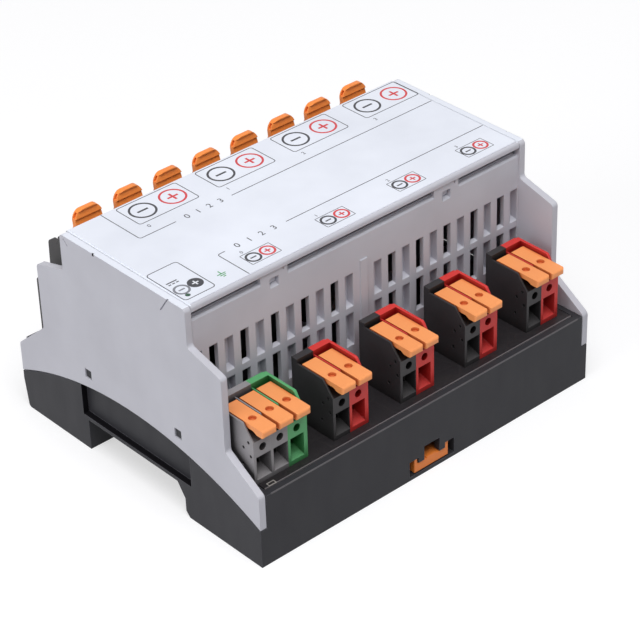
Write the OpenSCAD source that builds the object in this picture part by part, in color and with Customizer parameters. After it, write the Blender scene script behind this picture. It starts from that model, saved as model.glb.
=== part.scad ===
// Signal isolator in a six-module DIN rail housing, with lever terminals
// Origin at the bottom centre, +X along the rail, front terminals towards -Y, +Z up

/* [Housing] */
// Length along the rail
body_l = 107.6; // [106:0.1:125]
// Depth across the rail
body_d = 89.7; // [88:0.1:96]
// Height of the cover's top face
cover_z = 59.6; // [58:0.1:66]
// Depth of the narrow upper section across the rail
head_d = 45; // [43:0.1:47]
// How much farther the upper section reaches to the rear than to the front
head_shift = 0.6; // [0:0.1:1]
// Thickness of the gray end plates
plate_t = 1.8; // [1.5:0.1:2.2]
// Thickness of the louvred walls
wall_t = 1.3; // [1.2:0.05:1.6]
// Set-back of the louvred walls behind the end plates' edges
wall_inset = 0.5; // [0.2:0.1:0.8]
// Seam between housing pieces
seam = 0.2; // [0.1:0.05:0.3]
// Radius on the end plates' corners
plate_r = 1.2; // [0.6:0.1:2]

/* [End plate outline] */
// Height of the front knee, where the lower edge turns inward
front_knee_z = 19.7; // [18:0.1:21]
// Height where the front edge turns upright again
front_waist_z = 26.7; // [25:0.1:30]
// Height of the rear knee
rear_knee_z = 18.8; // [17:0.1:21]
// Height where the rear edge turns upright again
rear_waist_z = 28.2; // [26:0.1:31]
// Half depth of the upright waist
waist_half = 33.8; // [31:0.1:36]
// Height of the shoulder's outer edge
shoulder_z = 46.5; // [44:0.1:48]
// Rise of the shoulder towards the head
shoulder_rise = 3; // [1:0.1:5]
// Width of the two slits in each plate's outer face
notch_slit = 0.35; // [0.2:0.05:0.5]
// Depth of those slits and of the nick
notch_d = 0.35; // [0.2:0.05:0.5]
// Distance of the front slit's upper end from the middle
notch_front = 16.6; // [12:0.1:18]
// How far that slit slants to the rear
notch_run = 2.9; // [1:0.1:4]
// Height of that slit
notch_drop = 4.1; // [2:0.1:5]
// Distance of the nick in the upper edge from the middle
notch_rear = 10.4; // [6:0.1:16]
// Width and height of that nick
nick = 0.7; // [0.4:0.1:1]
// Distance of the short rear slit from the upper rear corner
corner_slit = 1.4; // [1:0.1:2]

/* [Base] */
// Height of the base walls and of the circuit board's top face
ledge_z = 19.4; // [18.6:0.1:20]
// Thickness of the base's front and rear walls
base_wall = 1.8; // [1.4:0.1:2.4]
// Slant of the rear wall towards its foot
base_draft = 1.1; // [0:0.1:1.4]
// Height where that slant starts
draft_z = 8; // [5:0.1:9]
// Thickness of the floor under the feet
base_floor = 1; // [0.8:0.1:1.4]
// Thickness of the base's end walls
end_wall = 3.4; // [3:0.1:4]
// Height of the arch in the end walls at its crown
arch_crown_z = 20.3; // [19.9:0.1:21]
// Height of the arch at its two ends
arch_tip_z = 10.4; // [9:0.1:12]
// Depth of the recessed field in each end wall
recess_d = 1.7; // [1:0.1:2]
// Half width of that field
recess_half = 20.4; // [19:0.1:24]
// Height of the field's sill
recess_z = 9.7; // [9.3:0.1:11]
// Width of the ledge that the board lies on
board_rest = 1.4; // [1:0.1:2]
// Height of the snap lugs above the base walls
lug_h = 5.4; // [5:0.1:6.5]
// Width of a snap lug
lug_w = 5; // [4:0.1:6]
// Distance of the snap windows from the middle
window_y = 16.8; // [15:0.1:17]
// Width of a snap window
window_w = 2.4; // [2:0.1:3]
// Height of a snap window
window_h = 2.6; // [2:0.1:3]
// Set-back of the lugs' noses behind the end plates' outer faces
catch_set = 0.3; // [0.2:0.1:0.8]

/* [Rail channel] */
// Distance of the channel's front side from the middle
channel_front = 17.8; // [17.7:0.1:18.4]
// Distance of the channel's rear side from the middle
channel_rear = 18.6; // [18.4:0.1:19.2]
// Height of the channel's ceiling
channel_h = 8.7; // [8.5:0.1:9]
// Thickness of the ceiling and of the feet's inner walls
channel_t = 1.8; // [1.4:0.1:2.2]
// Slope at the channel's front upper corner, across
channel_slope_y = 2.6; // [1.5:0.1:3]
// Slope at the channel's front upper corner, upright
channel_slope_z = 3.7; // [2:0.1:4]
// Bevel under the front foot's inner edge
foot_bevel = 1.4; // [0.6:0.1:2]
// Reach of the fixed rail hooks into the channel
hook_reach = 2.3; // [1.6:0.1:2.6]
// Length of a fixed rail hook
hook_l = 16; // [10:0.5:20]
// Distance of the fixed rail hooks from the middle
hook_x = 30; // [20:0.5:38]
// Free height between hook and ceiling, for the rail's edge
rail_lip = 1.3; // [1.1:0.1:1.6]

/* [Rail latch] */
// Width of the latch
latch_w = 11.1; // [9:0.1:12]
// Height of the latch's bar
latch_bar = 2.3; // [2:0.1:2.6]
// Rise of the bar in its middle
latch_rise = 0.4; // [0.2:0.05:0.5]
// Width of that rise
rise_w = 3; // [2:0.1:3.6]
// Thickness of the latch's upright arms
latch_arm = 0.9; // [0.7:0.1:1.2]
// Height of the latch's arms
latch_arm_h = 3.9; // [3.6:0.1:4.2]
// Set-back of the latch behind the base's front face
latch_inset = 0.3; // [0.2:0.1:0.6]
// Thickness of the latch's front
latch_front_t = 2; // [1.6:0.1:2.6]
// Reach of the latch's nose into the channel
nose_reach = 1.5; // [1:0.1:2]
// Width of the cut-out for the latch
cutout_w = 14.8; // [13.5:0.1:16]
// Height of that cut-out
cutout_h = 4.4; // [4.3:0.1:5]
// Width of the screwdriver notch above the latch
notch_w = 5.1; // [4:0.1:5.4]
// Height of the screwdriver notch
notch_h = 6.8; // [6:0.1:7.4]
// Clearance round moving pieces
slide_gap = 0.3; // [0.2:0.05:0.35]

/* [Louvres] */
// Distance of the last column's middle from the end plate
louvre_end = 1.4; // [1.4:0.1:3]
// Columns on each side of the middle rib
louvre_cols = 11; // [8:1:11]
// Width of a louvre slot
louvre_w = 2.5; // [2:0.1:2.6]
// Height of a louvre slot
louvre_h = 9.1; // [7:0.1:9.4]
// Height of the upper row's top edge
louvre_top_z = 46.5; // [44:0.1:48]
// Distance between the two rows
louvre_row = 10.9; // [10:0.1:12]
// Depth of the blind columns
louvre_blind = 2.2; // [1.6:0.1:2.3]
// Thickness of the strips behind the blind columns
blind_t = 1.4; // [1.3:0.1:1.6]
// Margin of those strips round the slots
blind_rim = 0.6; // [0.4:0.1:0.8]
// Rise of each slot's sill towards the inside
louvre_sill = 0.3; // [0.1:0.05:0.6]
// Width of the middle rib
rib_w = 2.3; // [1.5:0.1:3]
// Height of the middle rib's top
rib_z = 49; // [47:0.1:51]
// How far the middle rib stands out
rib_out = 0.35; // [0.2:0.05:0.45]

/* [Cover] */
// Thickness of the cover
cover_t = 2; // [1.6:0.1:2.4]
// Height of the cover's front and rear edge
cover_edge = 1.6; // [1.2:0.1:1.8]
// Radius along the cover's front edge
cover_r = 0.8; // [0.4:0.1:1.2]
// Radius along the cover's rear edge
cover_rear_r = 0.4; // [0.2:0.1:0.8]
// Open gap under the cover's edge
cover_gap = 2.2; // [1.6:0.1:2.6]
// Chamfer along the walls' upper edge
wall_chamfer = 0.4; // [0.2:0.05:0.6]
// Thickness of the label on the cover
label_t = 0.15; // [0.1:0.05:0.3]
// Distance of the label from the cover's ends
label_end = 0.4; // [0.2:0.1:2]
// Distance of the label from the cover's rear edge
label_rear = 0.5; // [0.4:0.1:2.4]
// Distance of the cover's snap hooks from the middle
snap_x = 27.35; // [22:0.1:32]
// Width of the windows for those hooks
snap_w = 2.7; // [1.8:0.1:3]
// Height of those windows
snap_h = 2; // [1.6:0.1:2.2]
// Rise of those windows' sill towards the inside
snap_sill = 0.6; // [0.2:0.1:0.8]
// Distance of those windows' middle below the cover's edge
snap_drop = 2.9; // [2.4:0.1:3.2]
// Closed stretch beside a window, towards the nearer side
snap_near = 4.1; // [3:0.1:5]
// Closed stretch beside a window, towards the farther side
snap_far = 4.1; // [3.6:0.1:8]
// Width of the slit in the closed stretch
slit_w = 0.3; // [0.2:0.05:0.5]
// Distance of that slit from the window
slit_x = 2.8; // [2:0.1:3.4]
// Height of that slit
slit_h = 1; // [0.6:0.1:1.4]
// Thickness of a snap hook
hook_t = 1.2; // [0.9:0.1:1.6]
// Diameter of the light pipe
pipe_d = 1.1; // [0.9:0.1:1.6]
// Place of the light pipe along the rail, from the end
pipe_end = 4.4; // [4.2:0.1:6]
// Distance of the light pipe from the front wall's inner face
pipe_in = 2.3; // [2.2:0.1:4]

/* [Front terminals] */
// Distance between neighbouring poles
pole_pitch = 5.08; // [5:0.01:5.2]
// Distance of the first supply pole from the end
power_end = 5.6; // [5.4:0.1:8]
// Distance of the first output pole from the same end
out_start = 29.6; // [28:0.1:31]
// Distance of the last output pole from the other end
out_finish = 9.32; // [9:0.02:12]
// Set-back of the poles behind the base's front face
term_inset = 4.55; // [3.85:0.05:5.85]
// Depth of a pole
term_d = 14; // [13.5:0.1:15]
// Thickness of a pole's back wall
term_back = 1.9; // [1.5:0.1:2.2]
// Height of a pole's back wall
term_h = 16.9; // [16.5:0.1:18]
// Thickness of the web between two levers
web_t = 0.4; // [0.3:0.05:0.5]
// Thickness of a block's closing wall
term_wall = 0.76; // [0.6:0.02:1]
// Height of a pole's front edge under the lever
term_lip = 11.8; // [11.5:0.1:12.2]
// Width of the wire funnel at its mouth
funnel_w = 4; // [3.4:0.1:4.2]
// Height of the wire funnel at its mouth
funnel_h = 6.2; // [5.4:0.1:6.4]
// Height of the funnel's lower edge
funnel_z = 1.2; // [1:0.1:1.5]
// Depth of the wire funnel
funnel_d = 3.2; // [2.6:0.1:3.6]
// Width of the wire chamber
chamber_w = 3; // [2.8:0.1:3.2]
// Diameter of the test hole
test_d = 2; // [1.4:0.1:2.2]
// Height of the test hole
test_z = 9.7; // [9.4:0.1:10]
// Diameter of the joining holes in a block's first side
dowel_d = 0.8; // [0.5:0.1:1]
// Depth of those holes
dowel_h = 0.4; // [0.2:0.05:0.5]

/* [Front levers] */
// Width of a push lever
lever_w = 4.2; // [3.8:0.05:4.3]
// Length of a push lever
lever_l = 14; // [13.6:0.1:14.4]
// How far a lever stands out over the pole's front face
lever_lip = 2.9; // [2:0.1:3.2]
// Thickness of a lever
lever_t = 1.3; // [1:0.1:1.5]
// Height of a lever's top face above the board
lever_z = 15.9; // [15.7:0.1:16.2]
// Gap between a lever and its rest
lever_gap = 0.3; // [0.2:0.05:0.4]
// Diameter of the dimple in a lever
dimple_d = 2; // [1.4:0.1:2.4]
// Distance of the dimple from the lever's front edge
dimple_y = 6; // [5:0.1:7]
// Depth of the dimple
dimple_h = 0.8; // [0.4:0.1:0.9]
// Height of a lever's thick front edge
nose_h = 1.9; // [1.5:0.1:2.2]
// Distance of the hinge line from the lever's rear edge
lever_hinge = 0.8; // [0.5:0.1:1]

/* [Rear terminals] */
// Distance of the rear row from the end plates
in_margin = 3.4; // [2.4:0.1:4.5]
// Set-back of the wire face behind the base's rear face
in_inset = 2.25; // [2.15:0.05:3.35]
// Gap between a rear block and the rear wall
in_back = 1; // [0.8:0.1:2.4]
// Height of the wire face
in_face_h = 16.5; // [15:0.1:18]
// Height of a rear block behind the wire face
in_h = 22.8; // [21:0.1:23]
// Gap between two rear blocks
in_gap = 0.3; // [0.2:0.1:0.6]
// Distance of a rear block's upper edge from the wire face
in_shoulder = 5.5; // [4:0.1:6]
// Distance of the lever's hinge line from the block's inner end
in_hinge_y = 3.95; // [3.6:0.05:4.4]
// Height of the lever's hinge line above the board
in_hinge_z = 26.6; // [26.4:0.1:28]
// Thickness of the ears beside a lever
ear_t = 1.425; // [1.3:0.025:1.6]
// Distance of the ears' rear edge from the hinge line
ear_y = 8.25; // [7.5:0.05:9]
// Height of the ears' rear step above the board
ear_z = 31.1; // [30:0.1:32]
// Distance of that step's inner end from the hinge line
ear_step = 4.15; // [3.6:0.05:4.8]
// Height of the ears at the hinge
ear_top = 33.4; // [32.5:0.1:34]
// Reach of the ears past the hinge line
ear_front = 2.5; // [2:0.1:2.8]
// Width of a rear wire entry
entry_w = 3.9; // [3.4:0.1:4]
// Height of a rear wire entry
entry_h = 5.4; // [4.4:0.1:5.8]
// Height of the entry's lower edge
entry_z = 4.6; // [3.6:0.1:5]
// Widening of the entry towards the wire face
entry_flare = 1.1; // [0.6:0.1:1.3]

/* [Rear levers] */
// Thickness of a rear lever's arm
in_arm = 2.4; // [2:0.1:2.6]
// Thickness of the neck under the grip
in_neck = 1.5; // [1.2:0.1:1.7]
// Radius of a rear lever's hub
in_hub_r = 2.7; // [2.4:0.1:2.9]
// Radius of the hub's side journals
journal_r = 1.25; // [1:0.05:1.5]
// Running clearance of the journals
journal_gap = 0.08; // [0.05:0.01:0.1]
// Length of a journal
journal_l = 1; // [0.8:0.1:1.1]
// Side clearance of a rear lever
in_side_gap = 0.3; // [0.25:0.05:0.35]
// Height of a rear lever's tip above its hinge line
in_tip_h = 14.7; // [13.5:0.1:15.2]
// Radius on the corners of a lever's tip
in_tip_r = 2.8; // [1.5:0.1:3.6]
// Thickness of the ribbed grip at the tip
grip_t = 1.7; // [1.5:0.1:2.2]
// How much narrower the arm and the grip are than the hub, on each side
grip_in = 0.35; // [0:0.05:0.6]
// Length of the ribbed grip
grip_l = 4.4; // [4:0.1:5]
// Height of the lip above the first groove
groove_tip = 0.4; // [0.3:0.05:0.6]
// Distance between the two grooves
groove_row = 1.8; // [1.5:0.05:2]
// Depth of the grooves in the grip
groove_d = 0.5; // [0.3:0.05:0.6]
// Height of each groove's upper flank
groove_w = 0.3; // [0.2:0.05:0.4]
// Height of the hollow in each end of the grip
hollow_h = 1.4; // [0.8:0.1:1.6]
// Depth of those hollows
hollow_d = 1.8; // [1.2:0.1:2.4]

/* [Electronics] */
// Thickness of the circuit board
board_t = 1.6; // [1.4:0.1:2]
// Clearance round the circuit board
board_gap = 0.3; // [0.2:0.05:0.5]
// Diameter of the board's solder holes
solder_d = 1.7; // [1.6:0.05:2]
// Width of a solder pin
pin_w = 1; // [0.8:0.05:1.1]
// Thickness of the contact strips
strip_t = 0.8; // [0.6:0.05:0.9]
// Length of the solder pins under the board
pin_out = 1.4; // [1:0.1:2]
// Thickness of the clamp springs
spring_t = 0.4; // [0.3:0.05:0.5]
// Distance of the isolation modules from the middle
module_y = 3; // [2:0.5:4]
// Length of an isolation module
module_l = 16; // [12:0.5:18]
// Depth of an isolation module
module_d = 12; // [9:0.5:13]
// Height of an isolation module
module_h = 9; // [6:0.5:14]
// Length of an amplifier chip
chip_l = 10; // [7:0.5:12]
// Depth of an amplifier chip
chip_d = 6.5; // [4:0.5:7]
// Height of an amplifier chip
chip_h = 2.4; // [1.6:0.1:3]
// Diameter of a capacitor
cap_d = 8; // [5:0.5:9]
// Height of a capacitor
cap_h = 12; // [8:0.5:16]
// Distance of the first capacitor from the supply module
cap_start = 9.4; // [6:0.1:12]
// Distance between capacitors
cap_pitch = 16; // [12:0.5:17]
// Distance of the capacitors from the front wall
cap_in = 7; // [6:0.1:8]
// Length of the supply module
converter_l = 22; // [16:0.5:24]
// Depth of the supply module
converter_d = 8; // [6:0.5:8.5]
// Height of the supply module
converter_h = 8; // [5:0.5:12]
// Distance of the supply module from the end wall
converter_end = 5; // [3:0.1:8]
// Distance of the supply module from the front wall
converter_in = 2; // [1:0.1:3]

/* [Hidden] */
$fn = 48;

channels = 4;
half_l = body_l / 2;
half_d = body_d / 2;
half_head = head_d / 2;
rear_head = half_head + head_shift;
inner_x = half_l - plate_t - seam;
wall_y = half_head - wall_inset;
louvre_pitch = (half_l - plate_t - louvre_end) / louvre_cols;
board_z = ledge_z - board_t;
past = 1;

// Circle that shapes the arch of the end walls
arch_drop = arch_crown_z - arch_tip_z;
arch_r = (half_d * half_d + arch_drop * arch_drop) / (2 * arch_drop);
arch_cz = arch_crown_z - arch_r;

// Cover: its ends, its front and rear faces and the heights under it
cover_x = half_l - plate_t - seam / 2;
cover_set = 0.1;
cover_y0 = -half_head + cover_set;
cover_y1 = rear_head - cover_set;
edge_z = cover_z - cover_edge;
wall_top_z = edge_z - cover_gap;
snap_z = edge_z - snap_drop;
pipe_x = -half_l + pipe_end;
pipe_y = -wall_y + wall_t + pipe_in;
hook_top_z = channel_h - rail_lip;

// Chamber, roof and rest inside a front pole, from its front face and the board
term_y = half_d - term_inset;
chamber_y1 = term_d - term_back - 1.5;
chamber_z0 = 1;
chamber_z1 = term_lip - 0.4;
lever_rear = lever_l - lever_lip;
hinge_y = lever_rear - lever_hinge;
lever_under = lever_z - lever_t;
rest_z = lever_under - lever_gap;
rest_y = hinge_y - lever_hinge;
pusher_y = chamber_y1 / 2;
pusher_h = 1;
bar_z = 2.2;
pin_y = chamber_y1 - 0.8;

// Side edges of a pole: its web lies left of the lever, its neighbour's web right of it
pole_left = -pole_pitch / 2 - web_t / 2;
pole_right = pole_pitch / 2 - web_t / 2;

// Rear pole
in_y = half_d - in_inset;
in_d = in_y - wall_y - head_shift - in_back;
pivot_y = in_d - in_hinge_y;
in_pitch = (body_l - 2 * plate_t - 2 * in_margin) / (2 * channels);
in_lever_w = in_pitch - in_gap - 2 * ear_t - 2 * in_side_gap;
in_slot = in_lever_w / 2 + in_side_gap;
in_chamber_w = entry_w + 1;
in_chamber_y0 = 3.6;
in_chamber_y1 = in_d - 3;
in_chamber_z0 = 2;
in_chamber_z1 = in_face_h - 2;
in_bar_z = entry_z - 1.4;
in_pin_y = in_chamber_y1 - 1.2;

out_pitch = (body_l - out_start - out_finish - pole_pitch) / (channels - 1);
power_xs = [for (i = [0:2]) -half_l + power_end + i * pole_pitch];
out_xs = [for (c = [0:channels - 1]) for (p = [0:1]) -half_l + out_start + c * out_pitch + p * pole_pitch];
front_xs = concat(power_xs, out_xs);
in_xs = [for (i = [0:2 * channels - 1]) (i - channels + 0.5) * in_pitch];

pale_gray = [0.75, 0.75, 0.79];
cover_white = [0.93, 0.94, 0.98];
base_black = [0.17, 0.17, 0.18];
board_black = [0.08, 0.08, 0.09];
lever_orange = [1, 0.55, 0.2];
pole_gray = [0.5, 0.5, 0.52];
pole_green = [0.3, 0.62, 0.42];
pole_red = [0.75, 0.2, 0.2];
pole_black = [0.12, 0.12, 0.13];
metal = [0.8, 0.8, 0.78];

// Unit vector from a to b
function toward(a, b) = (b - a) / norm(b - a);

// Turn from angle a to angle b by the shorter way
function turn(a, b) = let (t = b - a) t > 180 ? t - 360 : t < -180 ? t + 360 : t;

// Arc of radius r that rounds corner q between p and s
function corner(p, q, s, r, n = 6) =
  r <= 0 ? [q] :
  let (u = toward(q, p), v = toward(q, s), half = acos(u * v) / 2)
  let (c = q + toward([0, 0], u + v) * r / sin(half))
  let (a = q + u * r / tan(half) - c, b = q + v * r / tan(half) - c)
  let (a0 = atan2(a[1], a[0]), sweep = turn(a0, atan2(b[1], b[0])))
  [for (i = [0:n]) c + r * [cos(a0 + sweep * i / n), sin(a0 + sweep * i / n)]];

// Outline through [y, z, radius] points, each corner rounded by its radius
function rounded(pts) =
  let (n = len(pts), xy = [for (p = pts) [p[0], p[1]]])
  [for (i = [0:n - 1]) each corner(xy[(i + n - 1) % n], xy[i], xy[(i + 1) % n], pts[i][2])];

// Extrude a Y-Z outline along X
module x_slab(x0, x1) {
  translate([x0, 0, 0]) rotate([90, 0, 90]) linear_extrude(x1 - x0) children();
}

// Box between two corners
module box(lo, hi) {
  translate(lo) cube(hi - lo);
}

// A shape and its mirror image at the other end or side
module both_ends() {
  children();
  mirror([1, 0, 0]) children();
}
module both_sides() {
  children();
  mirror([0, 1, 0]) children();
}

// A shape at the front wall and its mirror image at the rear wall
module both_walls() {
  children();
  translate([0, head_shift, 0]) mirror([0, 1, 0]) children();
}

// Place a front pole's own frame: its front face at y = 0, the board's top at z = 0
module front_frame(x) {
  translate([x, -term_y, ledge_z]) children();
}

// Place a rear pole's own frame: its wire face at y = 0, the board's top at z = 0
module rear_frame(x) {
  translate([x, in_y, ledge_z]) mirror([0, 1, 0]) children();
}

// Section of the rail channel
module channel_2d() {
  polygon([
    [-channel_front - foot_bevel, 0], [-channel_front, foot_bevel],
    [-channel_front, channel_h - channel_slope_z], [-channel_front + channel_slope_y, channel_h],
    [channel_rear, channel_h], [channel_rear, -past], [-channel_front - foot_bevel, -past]
  ]);
}

// Section of the base up to height h, with the rail channel cut out
module base_2d(h) {
  foot_y = half_d - base_draft;
  difference() {
    polygon(rounded([
      [-half_d, 0, 0], [-half_d, h, 0], [half_d, h, 0], [half_d, draft_z, 0], [foot_y, 0, 0.9]
    ]));
    channel_2d();
  }
}

// Section of the space inside the base
module base_cavity_2d() {
  y1 = half_d - base_wall - board_rest;
  top = channel_h + channel_t;
  polygon([
    [-y1, base_floor], [-channel_front - channel_t, base_floor], [-channel_front - channel_t, top],
    [channel_rear + channel_t, top], [channel_rear + channel_t, base_floor], [y1, base_floor],
    [y1, arch_crown_z + past], [-y1, arch_crown_z + past]
  ]);
}

// Disc that bounds the base's arched end walls
module arch_2d(grow) {
  translate([0, arch_cz]) circle(arch_r + grow, $fn = 240);
}

// Snap lug that holds one corner of an end plate
module snap_lug() {
  x1 = -half_l + end_wall - 0.6;
  zc = ledge_z + lug_h - window_h / 2 - 0.5;
  box([-inner_x, window_y - lug_w / 2, ledge_z - past], [x1, window_y + lug_w / 2, ledge_z + lug_h]);
  box([-half_l + catch_set, window_y - window_w / 2 + seam, zc - window_h / 2 + seam],
      [-inner_x + past / 2, window_y + window_w / 2 - seam, zc + window_h / 2 - seam]);
}

// Cut-out in the base for the latch: mouth, screwdriver notch and way into the channel
module latch_way() {
  peg_x = latch_w / 2 - latch_arm - slide_gap;
  peg_z = base_floor + slide_gap + latch_bar + slide_gap;
  difference() {
    union() {
      box([-cutout_w / 2, -half_d - past, base_floor],
          [cutout_w / 2, -half_d + base_wall + board_rest + past, base_floor + cutout_h]);
      box([-notch_w / 2, -half_d - past, base_floor],
          [notch_w / 2, -half_d + base_wall + board_rest + past, base_floor + notch_h]);
    }
    both_ends() box([notch_w / 2, -half_d - 2 * past, peg_z],
                    [peg_x, -half_d + base_wall, cutout_h + 2 * past]);
  }
  box([-latch_w / 2 - slide_gap, -channel_front - channel_t - past, base_floor],
      [latch_w / 2 + slide_gap, -channel_front + channel_slope_y + past, hook_top_z + slide_gap]);
}

module base_housing() {
  y0 = -half_d + base_wall + board_rest;
  guide_y1 = -channel_front - channel_t + past / 2;
  color(base_black)
  union() {
    difference() {
      union() {
        x_slab(-inner_x, inner_x) base_2d(ledge_z);
        x_slab(-half_l, half_l) intersection() {
          base_2d(arch_crown_z + past);
          arch_2d(0);
        }
      }
      x_slab(-half_l + end_wall, half_l - end_wall) base_cavity_2d();
      box([-half_l + end_wall, -half_d + base_wall, board_z],
          [half_l - end_wall, half_d - base_wall, arch_crown_z + past]);
      both_ends() x_slab(-half_l - past, -half_l + recess_d)
        translate([-recess_half, recess_z]) square([2 * recess_half, arch_crown_z]);
      latch_way();
    }
    both_ends() both_sides() snap_lug();
    both_ends() box([latch_w / 2 + slide_gap, y0 - past / 2, base_floor - past / 2],
                    [latch_w / 2 + slide_gap + channel_t, guide_y1, base_floor + cutout_h]);
    both_ends() x_slab(hook_x - hook_l / 2, hook_x + hook_l / 2) polygon([
      [channel_rear + past / 2, hook_top_z - 4], [channel_rear - hook_reach, hook_top_z - 1.6],
      [channel_rear - hook_reach, hook_top_z], [channel_rear + past / 2, hook_top_z]
    ]);
  }
}

// Outline of an end plate, corners rounded, before the arch is cut from its foot
function plate_outline() = rounded([
  [-half_d, 0, 0], [-half_d, front_knee_z, plate_r], [-waist_half, front_waist_z, plate_r],
  [-waist_half, shoulder_z, plate_r], [-half_head, shoulder_z + shoulder_rise, plate_r],
  [-half_head, cover_z, plate_r], [rear_head, cover_z, plate_r],
  [rear_head, shoulder_z + shoulder_rise, plate_r], [waist_half, shoulder_z, plate_r],
  [waist_half, rear_waist_z, plate_r], [half_d, rear_knee_z, plate_r], [half_d, 0, 0]
]);

// Shallow slit in the near plate's outer face, between two [y, z] points
module plate_slit(a, b) {
  u = toward(a, b);
  n = notch_slit / 2 * [-u[1], u[0]];
  x_slab(-half_l - past, -half_l + notch_d) polygon([a + n, b + n, b - n, a - n]);
}

module end_plate() {
  zc = ledge_z + lug_h - window_h / 2 - 0.5;
  corner_y = rear_head - corner_slit;
  corner_z = cover_z - 0.65 * corner_slit;
  difference() {
    x_slab(-half_l, -half_l + plate_t) difference() {
      polygon(plate_outline());
      arch_2d(seam);
      both_windows_2d(zc);
    }
    plate_slit([-notch_front - 0.35, cover_z + 0.5], [-notch_front + notch_run, cover_z - notch_drop]);
    plate_slit([corner_y, corner_z], [corner_y - corner_slit, corner_z - corner_slit]);
    box([-half_l - past, notch_rear - nick / 2, cover_z - nick],
        [-half_l + notch_d, notch_rear + nick / 2, cover_z + past]);
  }
}

// The two snap windows of an end plate
module both_windows_2d(zc) {
  for (side = [-1, 1])
    translate([side * window_y - window_w / 2, zc - window_h / 2]) square([window_w, window_h]);
}

// One louvre slot in the front wall, its sill rising inward
module louvre(x, z_top, depth) {
  z0 = z_top - louvre_h;
  x_slab(x - louvre_w / 2, x + louvre_w / 2) polygon([
    [-wall_y - past, z0 - louvre_sill / wall_t * past], [-wall_y, z0],
    [-wall_y + depth, z0 + louvre_sill * depth / wall_t], [-wall_y + depth, z_top], [-wall_y - past, z_top]
  ]);
}

// Strip behind one blind column of the front wall, from the lower row to the upper
module blind_strip(x) {
  z0 = louvre_top_z - louvre_row - louvre_h - blind_rim;
  w = louvre_w / 2 + blind_rim;
  x1 = half_l - plate_t / 2;
  box([max(x - w, -x1), -wall_y + wall_t - past / 2, z0],
      [min(x + w, x1), -wall_y + wall_t + blind_t, louvre_top_z + blind_rim]);
}

// The front wall with its louvres, its middle rib and the windows for the cover's hooks
module louvred_wall() {
  x1 = half_l - plate_t / 2;
  sill_z = snap_z - snap_h / 2;
  difference() {
    union() {
      x_slab(-x1, x1) polygon([
        [-wall_y, ledge_z], [-wall_y + wall_t, ledge_z], [-wall_y + wall_t, wall_top_z],
        [-wall_y + wall_chamfer, wall_top_z], [-wall_y, wall_top_z - wall_chamfer]
      ]);
      for (x = [-snap_x, snap_x])
        box([x - snap_near, -wall_y, wall_top_z - past], [x + snap_far, -wall_y + wall_t, edge_z - seam]);
      for (k = [1:2:louvre_cols])
        for (side = [-1, 1])
          blind_strip(side * k * louvre_pitch);
      box([-rib_w / 2, -wall_y - rib_out, ledge_z], [rib_w / 2, -wall_y + past / 2, rib_z]);
    }
    for (k = [1:louvre_cols])
      for (side = [-1, 1])
        for (row = [0:1])
          louvre(side * k * louvre_pitch, louvre_top_z - row * louvre_row,
                 k % 2 == 0 ? wall_t + past : louvre_blind);
    for (x = [-snap_x, snap_x]) {
      x_slab(x - snap_w / 2, x + snap_w / 2) polygon([
        [-wall_y - past, sill_z - snap_sill], [-wall_y, sill_z - snap_sill], [-wall_y + wall_t, sill_z],
        [-wall_y + wall_t + past, sill_z], [-wall_y + wall_t + past, sill_z + snap_h],
        [-wall_y - past, sill_z + snap_h]
      ]);
      box([x + slit_x - slit_w / 2, -wall_y - past, edge_z - slit_h],
          [x + slit_x + slit_w / 2, -wall_y + wall_t + past, edge_z]);
    }
  }
}

module upper_housing() {
  rest_z0 = cover_z - cover_t - seam;
  color(pale_gray)
  union() {
    both_ends() end_plate();
    both_walls() louvred_wall();
    both_ends() box([-half_l + plate_t / 2, -half_head / 2, rest_z0 - 2 * cover_t],
                    [-half_l + plate_t + 1.2, half_head / 2, rest_z0 + seam]);
  }
}

// Hook of the cover that reaches down behind a wall and into its window
module cover_hook() {
  y0 = -wall_y + wall_t + seam / 2;
  nub = 0.4;
  for (x = [-snap_x, snap_x]) {
    box([x - snap_w, y0, snap_z - snap_h / 2 - 0.4], [x + snap_w, y0 + hook_t, cover_z - cover_t + 0.2]);
    box([x - snap_w / 2 + seam, y0 - nub, snap_z - snap_h / 2 + seam],
        [x + snap_w / 2 - seam, y0 + hook_t / 2, snap_z + snap_h / 2 - seam]);
  }
}

module top_cover() {
  front_y = -wall_y + wall_t + seam / 2;
  rear_y = wall_y + head_shift - wall_t - seam / 2;
  under = cover_z - cover_t;
  color(pale_gray)
  difference() {
    union() {
      x_slab(-cover_x, cover_x) polygon(rounded([
        [cover_y0, edge_z, 0], [cover_y0, cover_z, cover_r], [cover_y1, cover_z, cover_rear_r],
        [cover_y1, edge_z, 0], [rear_y, edge_z, 0], [rear_y, under, 0],
        [front_y, under, 0], [front_y, edge_z, 0]
      ]));
      both_walls() cover_hook();
    }
    translate([pipe_x, pipe_y, under - past]) cylinder(d = pipe_d + seam, h = cover_t + 2 * past);
  }
}

// Film on the cover's flat top, with a hole for the light pipe
module cover_label() {
  x1 = cover_x - label_end;
  color(cover_white)
  difference() {
    box([-x1, cover_y0 + cover_r, cover_z], [x1, cover_y1 - label_rear, cover_z + label_t]);
    translate([pipe_x, pipe_y, cover_z - past]) cylinder(d = pipe_d + seam, h = label_t + 2 * past);
  }
}

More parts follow.
